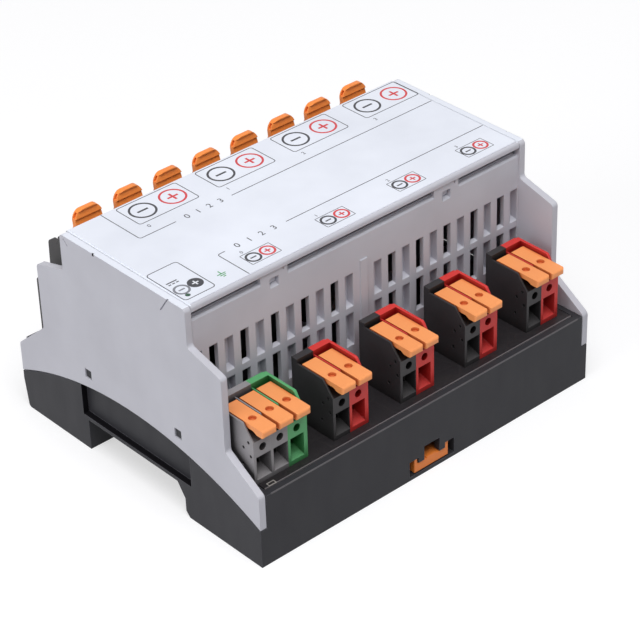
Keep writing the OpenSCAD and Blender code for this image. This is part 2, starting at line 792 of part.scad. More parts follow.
module rail_latch() {
  z0 = base_floor + slide_gap;
  y0 = -half_d + latch_inset;
  nose_y = -channel_front + nose_reach;
  tongue_x = latch_w / 2 - latch_arm - 2 * slide_gap;
  color(lever_orange)
  union() {
    box([-latch_w / 2, y0, z0], [latch_w / 2, y0 + latch_front_t, z0 + latch_bar]);
    box([-rise_w / 2, y0, z0 + latch_bar - past / 2],
        [rise_w / 2, y0 + latch_front_t, z0 + latch_bar + latch_rise]);
    both_ends() box([latch_w / 2 - latch_arm, y0, z0 + latch_bar - past / 2],
                    [latch_w / 2, y0 + latch_front_t, z0 + latch_arm_h]);
    box([-latch_w / 2, y0 + latch_front_t - past / 2, z0],
        [latch_w / 2, nose_y - nose_reach, z0 + latch_bar]);
    x_slab(-tongue_x, tongue_x) polygon([
      [nose_y - 6, z0], [nose_y - nose_reach, z0], [nose_y, hook_top_z - 1.4], [nose_y, hook_top_z],
      [nose_y - 4, hook_top_z], [nose_y - 6, z0 + latch_bar]
    ]);
  }
}

module main_board() {
  x1 = half_l - end_wall - board_gap;
  y1 = half_d - base_wall - board_gap;
  color(board_black)
  difference() {
    box([-x1, -y1, board_z], [x1, y1, ledge_z]);
    for (x = front_xs)
      translate([x, -term_y + pin_y, board_z - past]) cylinder(d = solder_d, h = board_t + 2 * past);
    for (x = in_xs)
      translate([x, in_y - in_pin_y, board_z - past]) cylinder(d = solder_d, h = board_t + 2 * past);
  }
}

// Middles of the four channels along the rail
function channel_x(c) = (c - (channels - 1) / 2) * (2 * inner_x / channels - 2);

module isolation_modules() {
  color(pole_gray)
  for (c = [0:channels - 1])
    box([channel_x(c) - module_l / 2, module_y, ledge_z],
        [channel_x(c) + module_l / 2, module_y + module_d, ledge_z + module_h]);
}

module isolation_amps() {
  color(board_black)
  for (c = [0:channels - 1])
    box([channel_x(c) - chip_l / 2, -chip_d, ledge_z], [channel_x(c) + chip_l / 2, 0, ledge_z + chip_h]);
}

module power_converter() {
  x0 = -half_l + end_wall + converter_end;
  y0 = -wall_y + wall_t + converter_in;
  color(board_black)
  box([x0, y0, ledge_z], [x0 + converter_l, y0 + converter_d, ledge_z + converter_h]);
}

module capacitors() {
  x0 = -half_l + end_wall + converter_end + converter_l + cap_start;
  color(metal)
  for (c = [0:channels - 1])
    translate([x0 + c * cap_pitch, -wall_y + wall_t + cap_in, ledge_z]) cylinder(d = cap_d, h = cap_h);
}

module status_led() {
  size = 1.2;
  color(pole_green)
  translate([pipe_x, pipe_y, ledge_z]) box([-size / 2, -size / 2, 0], [size / 2, size / 2, 0.8]);
}

module light_pipe() {
  z0 = ledge_z + 1;
  collar_z = cover_z - cover_t;
  color(pole_green)
  translate([pipe_x, pipe_y, 0]) {
    translate([0, 0, z0]) cylinder(d = pipe_d, h = cover_z + label_t - z0);
    translate([0, 0, collar_z - 1]) cylinder(d = pipe_d + 0.8, h = 1);
  }
}

// Wire funnel of a front pole, narrowing to the wire chamber and open to the right up to x1
module funnel(x1) {
  w1 = chamber_w - 0.4;
  hull() {
    box([-funnel_w / 2, -0.01, funnel_z], [x1, 0, funnel_z + funnel_h]);
    box([-w1 / 2, funnel_d, funnel_z + 2], [max(w1 / 2, x1 - 0.7), funnel_d + 0.1, funnel_z + funnel_h - 1]);
  }
}

// Joining holes in the open side of a block's first pole, as [distance from the front, height]
dowels = [[1.6, 11.2], [3.4, 9.1], [1, 7.6], [3.9, 4.3]];

// Body of one front pole: the first has joining holes, the last has the block's closing wall
module pole(x, first, last) {
  inner_y = term_d - term_back;
  slope_y = 3.3;
  front_frame(x) difference() {
    union() {
      x_slab(pole_left, pole_right) polygon([
        [0, 0], [term_d, 0], [term_d, term_h], [inner_y, term_h],
        [inner_y, rest_z], [rest_y, rest_z], [0, term_lip]
      ]);
      x_slab(pole_left, pole_left + web_t) polygon([
        [0, term_lip - past], [inner_y + past / 2, term_lip - past], [inner_y + past / 2, lever_z - 0.1],
        [slope_y, lever_z - 0.1], [0, term_lip]
      ]);
      if (last) x_slab(pole_right, pole_right + term_wall) polygon(rounded([
        [0, 0, 0], [term_d, 0, 0], [term_d, term_h, 0.6], [slope_y, term_h, 0.8], [0, term_lip, 0.8]
      ]));
    }
    funnel(last ? funnel_w / 2 : pole_right + 0.01);
    box([-chamber_w / 2, funnel_d, chamber_z0], [chamber_w / 2, chamber_y1, chamber_z1]);
    translate([0, -past, test_z]) rotate([-90, 0, 0]) cylinder(d = test_d, h = funnel_d + 2 * past);
    box([-1.1, pusher_y - 1.5, chamber_z1 - past], [1.1, pusher_y + 1.5, lever_under]);
    if (first) for (p = dowels)
      translate([pole_left - past, p[0], p[1]]) rotate([0, 90, 0])
        cylinder(d = dowel_d, h = past + dowel_h, $fn = 16);
    box([-pin_w / 2 - 0.2, pin_y - strip_t / 2 - 0.2, -past],
        [pin_w / 2 + 0.2, pin_y + strip_t / 2 + 0.2, chamber_z0 + past]);
  }
}

// Push lever over one front pole
module push_lever(x) {
  nose_r = 0.6;
  color(lever_orange) front_frame(x) difference() {
    union() {
      intersection() {
        x_slab(-lever_w / 2, lever_w / 2) polygon(rounded([
          [-lever_lip, lever_z - nose_h, nose_r], [-lever_lip, lever_z, nose_r], [lever_rear, lever_z, 0.2],
          [lever_rear, lever_under, 0.3], [0.4, lever_under, 1], [-0.6, lever_z - nose_h, nose_r]
        ]));
        linear_extrude(term_h) polygon(rounded([
          [-lever_w / 2, -lever_lip, 0.6], [lever_w / 2, -lever_lip, 0.6],
          [lever_w / 2, lever_rear, 0], [-lever_w / 2, lever_rear, 0]
        ]));
      }
      box([-0.8, pusher_y - 0.8, lever_under - pusher_h], [0.8, pusher_y + 0.8, lever_under + lever_t / 2]);
    }
    translate([0, -lever_lip + dimple_y, lever_z - dimple_h]) cylinder(d = dimple_d, h = dimple_h + past);
  }
}

// Contact strip inside a pole, with the solder pin at its rear
module contact(w, y0, y1, z, leg_y) {
  box([-w / 2, y0, z], [w / 2, y1, z + strip_t]);
  box([-pin_w / 2, leg_y - strip_t / 2, -board_t - pin_out],
      [pin_w / 2, leg_y + strip_t / 2, z + strip_t / 2]);
}

// Bent leaf spring: one leg under the roof, one slanting down to the contact strip
module leaf_spring(w, y0, y1, z_roof, z_tip) {
  t = spring_t;
  bend_r = 3 * t;
  bend = [y0, z_roof];
  tip = [y1 - 1.6, z_tip];
  u = [1, 0];
  v = toward(bend, tip);
  half = acos(u * v) / 2;
  inner_bend = bend + toward([0, 0], u + v) * t / sin(half);
  inner_tip = tip + t * [-v[1], v[0]];
  x_slab(-w / 2, w / 2) polygon(rounded([
    [y1, z_roof, 0], [bend[0], bend[1], bend_r], [tip[0], tip[1], 0], [inner_tip[0], inner_tip[1], 0],
    [inner_bend[0], inner_bend[1], bend_r - t], [y1, z_roof - t, 0]
  ]));
}

module front_contacts() {
  color(metal)
  for (x = front_xs)
    front_frame(x) contact(chamber_w - 0.6, funnel_d + 0.6, chamber_y1 - 0.2, bar_z, pin_y);
}

module front_springs() {
  color(metal)
  for (x = front_xs)
    front_frame(x)
      leaf_spring(chamber_w - 0.8, funnel_d + 0.4, chamber_y1, chamber_z1, bar_z + strip_t + 0.3);
}

// Wire entry of a rear pole, flared towards the wire face
module rear_entry() {
  hull() {
    box([-entry_w / 2 - entry_flare, -0.01, entry_z - entry_flare],
        [entry_w / 2 + entry_flare, 0, entry_z + entry_h + entry_flare]);
    box([-entry_w / 2, 2.4, entry_z], [entry_w / 2, 2.5, entry_z + entry_h]);
  }
  box([-entry_w / 2, 2, entry_z], [entry_w / 2, in_chamber_y0 + past, entry_z + entry_h]);
}

// Outline of an ear beside a rear lever: low step towards the wires, high end round the hinge
function ear_outline() = rounded([
  [pivot_y - ear_y - 0.3, in_h - past, 0], [pivot_y - ear_y, ear_z, 1.4],
  [pivot_y - ear_step, ear_z, 0.2], [pivot_y - ear_step, ear_top, 0.5],
  [pivot_y + ear_front, ear_top, 0.8], [pivot_y + ear_front, in_h - past, 0]
]);

// Block of two rear poles
module input_block(c) {
  x0 = in_xs[2 * c];
  ear_x = in_slot + ear_t;
  hole_x = in_lever_w / 2 + journal_l + seam;
  color(pole_black)
  difference() {
    union() {
      rear_frame(0) x_slab(x0 - ear_x, x0 + in_pitch + ear_x) polygon(rounded([
        [0, 0, 0], [0, in_face_h, 0.8], [in_shoulder, in_h, 0.8], [in_d, in_h, 1.2], [in_d, 0, 0]
      ]));
      for (p = [0:1])
        for (side = [-1, 1])
          rear_frame(x0 + p * in_pitch) x_slab(side > 0 ? in_slot : -ear_x, side > 0 ? ear_x : -in_slot)
            polygon(ear_outline());
    }
    for (p = [0:1]) rear_frame(x0 + p * in_pitch) {
      rear_entry();
      box([-in_chamber_w / 2, in_chamber_y0, in_chamber_z0],
          [in_chamber_w / 2, in_chamber_y1, in_chamber_z1]);
      translate([-hole_x, pivot_y, in_hinge_z]) rotate([0, 90, 0])
        cylinder(r = journal_r + journal_gap, h = 2 * hole_x);
      box([-pin_w / 2 - 0.2, in_pin_y - strip_t / 2 - 0.2, -past],
          [pin_w / 2 + 0.2, in_pin_y + strip_t / 2 + 0.2, in_chamber_z0 + past]);
    }
  }
}

// Lever of one rear pole, upright: hub with journals, arm, neck and a ribbed grip with round corners
module input_lever(x) {
  w = in_lever_w / 2;
  grip_w = w - grip_in;
  face = in_arm / 2;
  top = in_tip_h;
  first_z = top - groove_tip;
  second_z = first_z - groove_row;
  hollow_z = top - 0.9;
  color(lever_orange) rear_frame(x) translate([0, pivot_y, in_hinge_z])
  difference() {
    union() {
      translate([-w, 0, 0]) rotate([0, 90, 0]) cylinder(r = in_hub_r, h = in_lever_w);
      translate([-w - journal_l, 0, 0]) rotate([0, 90, 0])
        cylinder(r = journal_r, h = in_lever_w + 2 * journal_l);
      intersection() {
        x_slab(-grip_w, grip_w) polygon(rounded([
          [-face, 0, 0], [-face, top - grip_l - 2, 0.6], [face - in_neck, top - grip_l, 0.8],
          [face - grip_t, top - 2.8, 0.5], [face - grip_t, top, 0.5], [face, top, 0.15],
          [face, first_z, 0.1], [face - groove_d, first_z - groove_w, 0],
          [face, second_z, 0.1], [face - groove_d, second_z - groove_w, 0],
          [face, second_z - groove_row, 0.3], [face, 0, 0]
        ]));
        rotate([90, 0, 0]) translate([0, 0, -in_arm]) linear_extrude(2 * in_arm) polygon(rounded([
          [-grip_w, 0, 0], [grip_w, 0, 0], [grip_w, top, in_tip_r], [-grip_w, top, in_tip_r]
        ]));
      }
    }
    both_ends() box([w - hollow_d, face - grip_t + 0.35, hollow_z - hollow_h],
                    [w + past, face - groove_d - 0.15, hollow_z]);
  }
}

module rear_contacts() {
  color(metal)
  for (x = in_xs)
    rear_frame(x) contact(in_chamber_w - 0.6, in_chamber_y0 + 0.6, in_chamber_y1 - 0.2, in_bar_z, in_pin_y);
}

module rear_springs() {
  color(metal)
  for (x = in_xs)
    rear_frame(x)
      leaf_spring(in_chamber_w - 0.8, in_chamber_y0 + 0.4, in_chamber_y1, in_chamber_z1,
                  in_bar_z + strip_t + 0.3);
}

base_housing();
upper_housing();
top_cover();
cover_label();
rail_latch();
main_board();
isolation_modules();
isolation_amps();
power_converter();
capacitors();
status_led();
light_pipe();
color(pole_gray) pole(power_xs[0], true, false);  // power_pole_1
color(pole_gray) pole(power_xs[1], false, false);  // power_pole_2
color(pole_green) pole(power_xs[2], false, true);  // earth_pole
push_lever(power_xs[0]);  // lever_power_1
push_lever(power_xs[1]);  // lever_power_2
push_lever(power_xs[2]);  // lever_earth
for (c = [0:channels - 1]) {
  color(pole_black) pole(out_xs[2 * c], true, false);
  color(pole_red) pole(out_xs[2 * c + 1], false, true);
  push_lever(out_xs[2 * c]);
  push_lever(out_xs[2 * c + 1]);
  input_block(c);
  input_lever(in_xs[2 * c]);
  input_lever(in_xs[2 * c + 1]);
}
front_contacts();
front_springs();
rear_contacts();
rear_springs();
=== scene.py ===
"""Studio scene of a rail-mounted signal isolator with lever terminals.

The solids carry the shapes. This script gives each of them its moulded, printed or metal finish,
puts the marks on the cover and the board and a thin lip behind the gap under the cover, and sets
the floor, the light and the camera.
"""

import logging
import math
from dataclasses import dataclass, field
from enum import Enum
from typing import Sequence

import bmesh
import bpy
from mathutils import Matrix, Vector


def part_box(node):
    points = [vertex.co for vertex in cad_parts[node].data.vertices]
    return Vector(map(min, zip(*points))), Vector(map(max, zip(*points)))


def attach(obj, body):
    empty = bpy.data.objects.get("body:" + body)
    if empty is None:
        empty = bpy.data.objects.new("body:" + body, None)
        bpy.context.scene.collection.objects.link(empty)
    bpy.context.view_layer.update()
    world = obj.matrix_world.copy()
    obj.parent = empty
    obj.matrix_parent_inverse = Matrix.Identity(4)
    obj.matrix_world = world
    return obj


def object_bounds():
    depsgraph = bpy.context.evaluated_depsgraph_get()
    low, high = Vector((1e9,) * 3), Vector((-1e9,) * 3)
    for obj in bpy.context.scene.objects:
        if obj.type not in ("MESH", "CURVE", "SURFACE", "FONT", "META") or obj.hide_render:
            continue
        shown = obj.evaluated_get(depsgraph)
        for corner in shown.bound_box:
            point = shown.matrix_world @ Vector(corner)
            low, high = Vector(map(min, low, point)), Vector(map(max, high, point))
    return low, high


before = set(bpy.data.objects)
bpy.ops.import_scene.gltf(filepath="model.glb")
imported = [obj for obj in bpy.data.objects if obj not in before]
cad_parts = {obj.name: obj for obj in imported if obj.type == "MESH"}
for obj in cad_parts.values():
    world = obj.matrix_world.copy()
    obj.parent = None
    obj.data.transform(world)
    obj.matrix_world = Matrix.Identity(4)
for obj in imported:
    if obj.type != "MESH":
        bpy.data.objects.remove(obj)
CAD_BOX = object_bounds()

LOG = logging.getLogger("signal_isolator")
MM = 0.001
HOUSING_BODY = "housing"

Point = tuple[float, float]
Triple = tuple[float, float, float]
Colour = tuple[int, int, int]
Socket = bpy.types.NodeSocket

# Most of a noise pattern's values lie between these two.
NOISE_SPAN: Point = (0.3, 0.7)
# Share of the light that is left deep in a hole.
HOLE_LIGHT = 0.75
# Least cosine at a line's corner, so that sharp corners stay short.
MITRE_LIMIT = 0.5


def linear(colour: Colour) -> tuple[float, float, float, float]:
    """Turn a colour as seen on screen into the shader's linear values.

    Args:
        colour: Red, green and blue from 0 to 255.

    Returns:
        Linear red, green, blue and an alpha of 1.
    """
    shares = [c / 255 for c in colour]
    lin = [c / 12.92 if c <= 0.04045 else ((c + 0.055) / 1.055) ** 2.4 for c in shares]
    return lin[0], lin[1], lin[2], 1.0


def scaled(colour: Colour, factor: float) -> Colour:
    """Return the colour made darker or lighter by a factor, kept within range."""
    return tuple(max(0, min(255, round(c * factor))) for c in colour)


def deepened(colour: Colour) -> Colour:
    """Return the colour as it looks deep in a hole, where light meets it twice."""
    return tuple(round(HOLE_LIGHT * c * c / 255) for c in colour)


class MaterialBench:
    """A new material with its main shader, and short ways to add and wire nodes."""

    # How far the softened and the plain normal agree where an edge starts, and where it is full.
    EDGE_AGREEMENT: Point = (0.97, 0.78)
    EDGE_SAMPLES = 4
    # Share of open surroundings deep in a hole, and out in the open.
    OPENNESS: Point = (0.42, 0.92)
    OPENNESS_SAMPLES = 6

    def __init__(self, name: str) -> None:
        """Make an empty node material.

        Args:
            name: Name of the material.
        """
        self.material = bpy.data.materials.new(name)
        self.material.use_nodes = True
        self.tree = self.material.node_tree
        self.shader = self.tree.nodes["Principled BSDF"]
        self.place = self.add("ShaderNodeTexCoord").outputs["Object"]

    def add(self, kind: str, **settings: object) -> bpy.types.Node:
        """Add one node.

        Args:
            kind: Blender's name for the node type.
            settings: Properties to set on the node.

        Returns:
            The new node.
        """
        node = self.tree.nodes.new(kind)
        for key, value in settings.items():
            setattr(node, key, value)
        return node

    def wire(self, source: Socket, target: Socket) -> None:
        """Link an output to an input."""
        self.tree.links.new(source, target)

    def noise(self, size_mm: float, detail: float = 2.0, stretch: Sequence[float] = (1, 1, 1)) -> Socket:
        """Add a noise pattern fixed to the object.

        Args:
            size_mm: Rough size of one grain.
            detail: Levels of finer noise on top.
            stretch: How much each axis is squeezed.

        Returns:
            The noise value, from 0 to 1.
        """
        squeeze = self.add("ShaderNodeMapping")
        squeeze.inputs["Scale"].default_value = stretch
        self.wire(self.place, squeeze.inputs["Vector"])
        node = self.add("ShaderNodeTexNoise")
        node.inputs["Scale"].default_value = 1000 / size_mm
        node.inputs["Detail"].default_value = detail
        self.wire(squeeze.outputs["Vector"], node.inputs["Vector"])
        return node.outputs["Fac"]

    def ranged(self, value: Socket, low: float, high: float, to: Point = (0.0, 1.0)) -> Socket:
        """Map a value from one range to another, clamped.

        Args:
            value: What to map.
            low: Value that becomes the first end.
            high: Value that becomes the second end.
            to: The two ends.

        Returns:
            The mapped value.
        """
        node = self.add("ShaderNodeMapRange")
        node.inputs["From Min"].default_value = low
        node.inputs["From Max"].default_value = high
        node.inputs["To Min"].default_value = to[0]
        node.inputs["To Max"].default_value = to[1]
        self.wire(value, node.inputs["Value"])
        return node.outputs["Result"]

    def mixed(self, share: Socket, first: object, second: object) -> Socket:
        """Mix two colours by a share.

        Args:
            share: 0 gives the first colour, 1 the second.
            first: A colour or a socket.
            second: A colour or a socket.

        Returns:
            The mixed colour.
        """
        node = self.add("ShaderNodeMix", data_type="RGBA")
        self.wire(share, node.inputs["Factor"])
        for value, target in ((first, node.inputs[6]), (second, node.inputs[7])):
            if isinstance(value, Socket):
                self.wire(value, target)
            else:
                target.default_value = linear(value)
        return node.outputs[2]

    def blended(self, share: Socket, first: Socket | float, second: float) -> Socket:
        """Mix two plain values by a share.

        Args:
            share: 0 gives the first value, 1 the second.
            first: A value or a socket.
            second: A value.

        Returns:
            The mixed value.
        """
        node = self.add("ShaderNodeMix", data_type="FLOAT")
        self.wire(share, node.inputs["Factor"])
        if isinstance(first, Socket):
            self.wire(first, node.inputs[2])
        else:
            node.inputs[2].default_value = first
        node.inputs[3].default_value = second
        return node.outputs[0]

    def rounded_edge(self, radius_mm: float) -> tuple[Socket, Socket]:
        """Soften the edges of moulded plastic.

        Args:
            radius_mm: Radius of the soft edge.

        Returns:
            The softened normal, and a mask that is 1 along the edges.
        """
        bevel = self.add("ShaderNodeBevel", samples=self.EDGE_SAMPLES)
        bevel.inputs["Radius"].default_value = radius_mm * MM
        surface = self.add("ShaderNodeNewGeometry")
        agree = self.add("ShaderNodeVectorMath", operation="DOT_PRODUCT")
        self.wire(bevel.outputs["Normal"], agree.inputs[0])
        self.wire(surface.outputs["Normal"], agree.inputs[1])
        return bevel.outputs["Normal"], self.ranged(agree.outputs["Value"], *self.EDGE_AGREEMENT)

    def pocket(self, low_mm: Sequence[float], high_mm: Sequence[float]) -> Socket:
        """Mark a box and its mirror images at the other end and side.

        Args:
            low_mm: Least distance from the middle along each axis.
            high_mm: Greatest distance from the middle along each axis.

        Returns:
            A mask that is 1 inside the boxes.
        """
        away = self.add("ShaderNodeVectorMath", operation="ABSOLUTE")
        self.wire(self.place, away.inputs[0])
        axes = self.add("ShaderNodeSeparateXYZ")
        self.wire(away.outputs["Vector"], axes.inputs["Vector"])
        mask = None
        for axis, low, high in zip(axes.outputs, low_mm, high_mm):
            within = self.add("ShaderNodeMath", operation="COMPARE")
            self.wire(axis, within.inputs[0])
            within.inputs[1].default_value = (low + high) / 2 * MM
            within.inputs[2].default_value = (high - low) / 2 * MM
            if mask is None:
                mask = within.outputs[0]
            else:
                both = self.add("ShaderNodeMath", operation="MULTIPLY")
                self.wire(mask, both.inputs[0])
                self.wire(within.outputs[0], both.inputs[1])
                mask = both.outputs[0]
        return mask

    def crevice(self, reach_mm: float) -> Socket:
        """Mark holes, corners and covered places.

        Args:
            reach_mm: How far away a neighbour still counts.

        Returns:
            A mask that is 0 deep in a hole and 1 in the open.
        """
        shade = self.add("ShaderNodeAmbientOcclusion", samples=self.OPENNESS_SAMPLES)
        shade.inputs["Distance"].default_value = reach_mm * MM
        return self.ranged(shade.outputs["AO"], *self.OPENNESS)

    def grain(self, height: Socket, depth_mm: float, normal: Socket | None = None) -> None:
        """Press a fine texture into the surface.

        Args:
            height: The texture's height, from 0 to 1.
            depth_mm: Depth of the texture.
            normal: Normal to start from, or None for the plain surface.
        """
        bump = self.add("ShaderNodeBump")
        bump.inputs["Strength"].default_value = 1.0
        bump.inputs["Distance"].default_value = depth_mm * MM
        self.wire(height, bump.inputs["Height"])
        if normal is not None:
            self.wire(normal, bump.inputs["Normal"])
        self.wire(bump.outputs["Normal"], self.shader.inputs["Normal"])


@dataclass(frozen=True)
class Patch:
    """Part of a plastic's face, and its mirror images, with another colour and shine, painted there as light
    or shade.
    """

    low_mm: Triple
    high_mm: Triple
    colour: Colour
    specular: float


@dataclass(frozen=True)
class MouldedPlastic:
    """Injection-moulded plastic with a spark-eroded grain and softly rounded edges that carry a painted
    highlight.
    """

    name: str
    colour: Colour
    roughness: float = 0.5
    grain_mm: float = 0.4
    grain_depth_mm: float = 0.006
    edge_mm: float = 0.2
    # How much lighter the painted highlight along the edges is.
    edge_lift: float = 1.12
    specular: float = 0.4
    # Reach of the painted shade in holes and corners, 0 for none.
    crevice_mm: float = 0.0
    patches: tuple[Patch, ...] = ()
    cloud_mm: float = 18.0
    cloud_tint: Point = (0.975, 1.02)
    flow_mm: float = 5.0
    flow_squeeze: Triple = (1, 1, 0.35)
    flow_span: Point = (0.25, 0.75)
    flow_sheen: Point = (-0.05, 0.06)

    def build(self) -> bpy.types.Material:
        """Make the plastic.

        Returns:
            The plastic as a material.
        """
        bench = MaterialBench(self.name)
        cloud = bench.noise(self.cloud_mm, detail=3.0)
        flow = bench.noise(self.flow_mm, stretch=self.flow_squeeze)
        fine = bench.noise(self.grain_mm, detail=3.0)
        dark, pale = (scaled(self.colour, tint) for tint in self.cloud_tint)
        body = bench.mixed(bench.ranged(cloud, *NOISE_SPAN), dark, pale)
        normal, edge = bench.rounded_edge(self.edge_mm)
        # Painted highlight: the colour turns lighter along the edges.
        tone_and_painted_light = bench.mixed(edge, body, scaled(self.colour, self.edge_lift))
        shine: Socket | float = self.specular
        # Painted highlight, painted light and painted shade in patches.
        for patch in self.patches:
            pocket = bench.pocket(patch.low_mm, patch.high_mm)
            tone_and_painted_light = bench.mixed(pocket, tone_and_painted_light, patch.colour)
            shine = bench.blended(pocket, shine, patch.specular)
        # Painted shade: the colour darkens in holes, corners and under neighbours.
        if self.crevice_mm:
            tone_and_painted_light = bench.mixed(bench.crevice(self.crevice_mm), deepened(self.colour), tone_and_painted_light)
        bench.wire(tone_and_painted_light, bench.shader.inputs["Base Color"])
        smooth, dull = (self.roughness + change for change in self.flow_sheen)
        rough = bench.ranged(flow, *self.flow_span, (smooth, dull))
        bench.wire(rough, bench.shader.inputs["Roughness"])
        if self.patches:
            bench.wire(shine, bench.shader.inputs["Specular IOR Level"])
        else:
            bench.shader.inputs["Specular IOR Level"].default_value = self.specular
        bench.grain(fine, self.grain_depth_mm, normal)
        return bench.material


@dataclass(frozen=True)
class SolderResist:
    """Black solder resist over faint copper areas."""

    name: str
    colour: Colour
    copper: Colour
    # Colour of the edge margin: bare laminate with the edge's highlight painted in.
    bare: Colour
    margin_mm: Point
    pour_mm: float = 7.0
    track_edge: Point = (0.03, 0.045)
    track_depth_mm: float = 0.012
    weave_mm: float = 0.5
    sheen: Point = (0.42, 0.55)
    reach_mm: float = 60.0

    def build(self) -> bpy.types.Material:
        """Make the resist, with a lighter margin along the board's front and rear edges: bare laminate with
        a painted highlight.

        Returns:
            The resist as a material.
        """
        bench = MaterialBench(self.name)
        pour = bench.add("ShaderNodeTexVoronoi", feature="DISTANCE_TO_EDGE")
        pour.inputs["Scale"].default_value = 1000 / self.pour_mm
        bench.wire(bench.place, pour.inputs["Vector"])
        track = bench.ranged(pour.outputs["Distance"], *self.track_edge)
        inner, outer = self.margin_mm
        # Painted highlight with bare laminate along the front and rear edges.
        rim = bench.pocket((0, inner, 0), (self.reach_mm, outer, self.reach_mm))
        face = bench.mixed(rim, bench.mixed(track, self.copper, self.colour), self.bare)
        bench.wire(face, bench.shader.inputs["Base Color"])
        weave = bench.noise(self.weave_mm)
        bench.wire(bench.ranged(weave, *NOISE_SPAN, self.sheen), bench.shader.inputs["Roughness"])
        bench.grain(track, self.track_depth_mm)
        return bench.material


@dataclass(frozen=True)
class DrawnMetal:
    """Bright metal with fine lines from drawing or stamping."""

    name: str
    colour: Colour
    roughness: float
    lines: Triple = (1, 1, 0.1)
    line_mm: float = 0.4
    line_depth_mm: float = 0.004
    line_tint: float = 0.9
    line_span: Point = (0.2, 0.8)
    line_roughness: float = 0.15

    def build(self) -> bpy.types.Material:
        """Make the metal.

        Returns:
            The metal as a material.
        """
        bench = MaterialBench(self.name)
        streak = bench.noise(self.line_mm, 4.0, self.lines)
        dark = scaled(self.colour, self.line_tint)
        tint = bench.mixed(bench.ranged(streak, *NOISE_SPAN), dark, self.colour)
        bench.wire(tint, bench.shader.inputs["Base Color"])
        dull = self.roughness + self.line_roughness
        rough = bench.ranged(streak, *self.line_span, (self.roughness, dull))
        bench.wire(rough, bench.shader.inputs["Roughness"])
        bench.shader.inputs["Metallic"].default_value = 1.0
        bench.grain(streak, self.line_depth_mm)
        return bench.material


@dataclass(frozen=True)
class PrintInk:
    """Screen-printed ink, slightly uneven in density."""

    name: str
    colour: Colour
    thin: float = 1.25
    thin_span: Point = (0.45, 0.8)
    speck_mm: float = 0.6
    sheen: Point = (0.45, 0.6)

    def build(self) -> bpy.types.Material:
        """Make the ink.

        Returns:
            The ink as a material.
        """
        bench = MaterialBench(self.name)
        density = bench.noise(self.speck_mm, detail=3.0)
        thin = scaled(self.colour, self.thin)
        tint = bench.mixed(bench.ranged(density, *self.thin_span), self.colour, thin)
        bench.wire(tint, bench.shader.inputs["Base Color"])
        bench.wire(bench.ranged(density, *NOISE_SPAN, self.sheen), bench.shader.inputs["Roughness"])
        return bench.material


LABEL_WHITE: Colour = (233, 237, 248)
# Painted highlight: a light line along the base's front top edge.
BASE_RIM_HIGHLIGHT = Patch((0.0, 44.6, 19.1), (50.2, 44.9, 19.5), (100, 98, 101), 0.18)
# Painted shade: near-black inside the recess in each end of the base.
RECESS_SHADE = Patch((52.16, 0.0, 9.0), (53.75, 21.2, 21.0), (22, 21, 24), 0.03)
# Painted light: the top faces at the housing's ends in label white, lighter than the same gray plastic on
# the sides.
PLATE_TOP_LIGHT = Patch((51.4, 0.0, 59.5), (54.0, 23.4, 60.0), LABEL_WHITE, 0.4)
# Painted shade: a dark spot in a small notch at each end plate's top edge.
PLATE_NICK_SHADE = Patch((53.42, 10.0, 58.85), (53.72, 10.8, 59.48), (70, 68, 72), 0.1)


